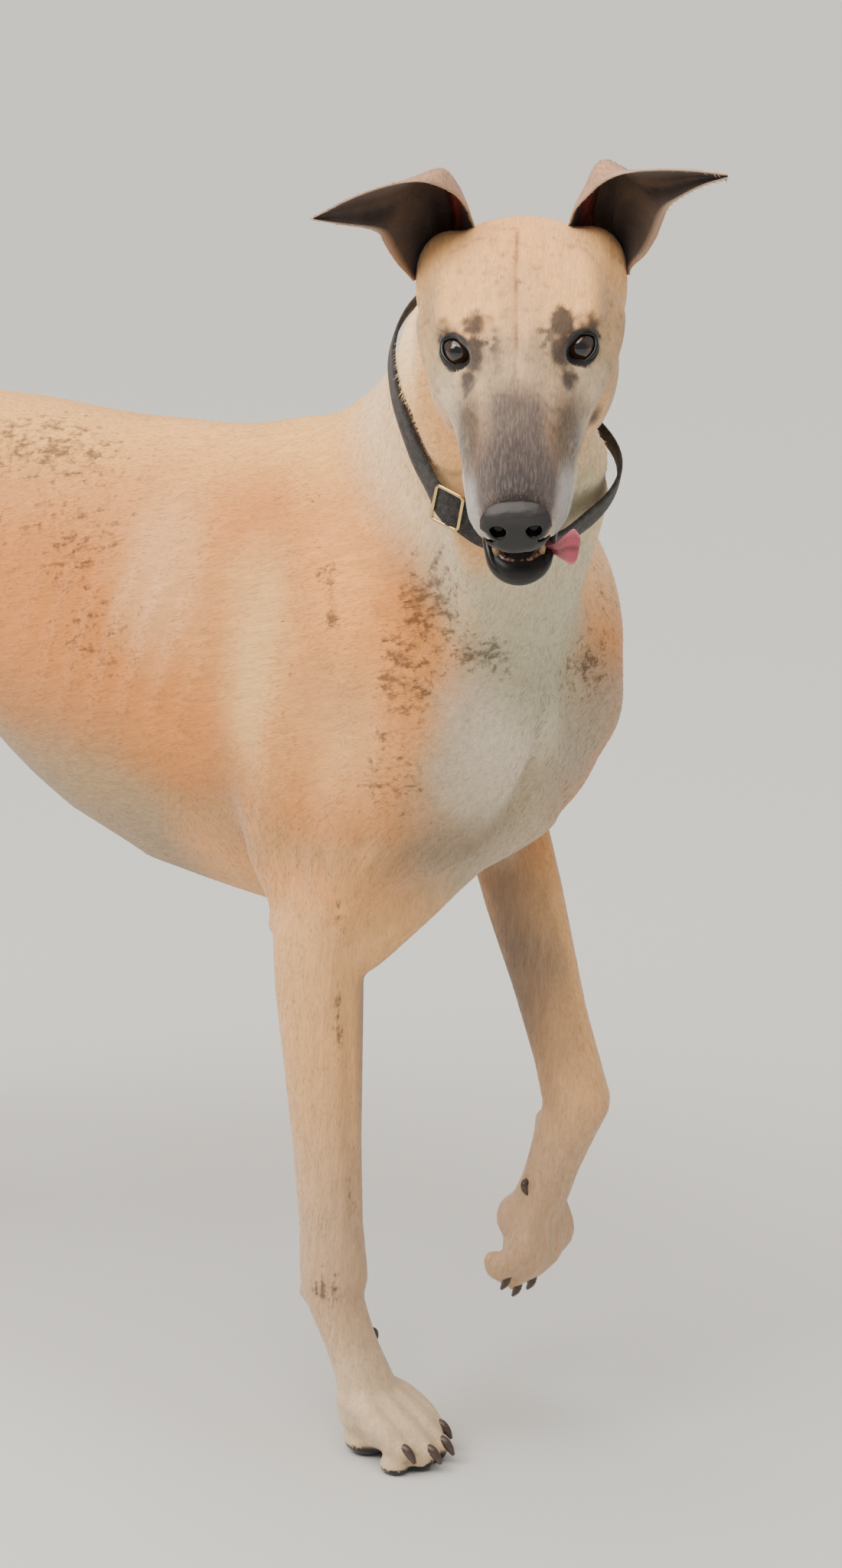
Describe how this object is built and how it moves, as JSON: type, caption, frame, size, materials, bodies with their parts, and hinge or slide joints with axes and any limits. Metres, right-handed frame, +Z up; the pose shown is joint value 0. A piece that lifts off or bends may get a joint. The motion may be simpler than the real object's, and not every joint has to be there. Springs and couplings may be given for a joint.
{
  "type": "greyhound",
  "caption": "Life-size standing greyhound with its left forefoot raised, head turned right, mouth a little open, and a strap collar with slide and buckle.",
  "frame": {"origin": "middle of the bounding box at floor level", "axes": "+X from tail to breast, +Y toward the animal's left side, +Z up"},
  "size_m": [1.1524, 0.4012, 0.8831],
  "materials": {
    "coat": "short flat fur, golden fawn with sparse dark brindle, paler below",
    "ear_coat": "very short fur, tan outside and nearly black inside",
    "nose_leather": "moist black leather, glossy below",
    "tongue": "wet pink flesh",
    "eye": "polished, dark brown iris",
    "collar_webbing": "woven black webbing",
    "slide_brass": "polished",
    "buckle_plastic": "moulded, satin black"
  },
  "bodies": {
    "root": {"head": "coat", "jaw": "coat", "neck": "coat", "torso": "coat", "tail": "coat", "foreleg_right": "coat", "foreleg_left": "coat", "hindleg_right": "coat", "hindleg_left": "coat", "ear_right": "ear_coat", "ear_left": "ear_coat", "nose": "nose_leather", "tongue": "tongue", "eye_right": "eye", "eye_left": "eye", "collar_strap": "collar_webbing", "collar_slide": "slide_brass", "collar_buckle": "buckle_plastic"}
  },
  "joints": []
}
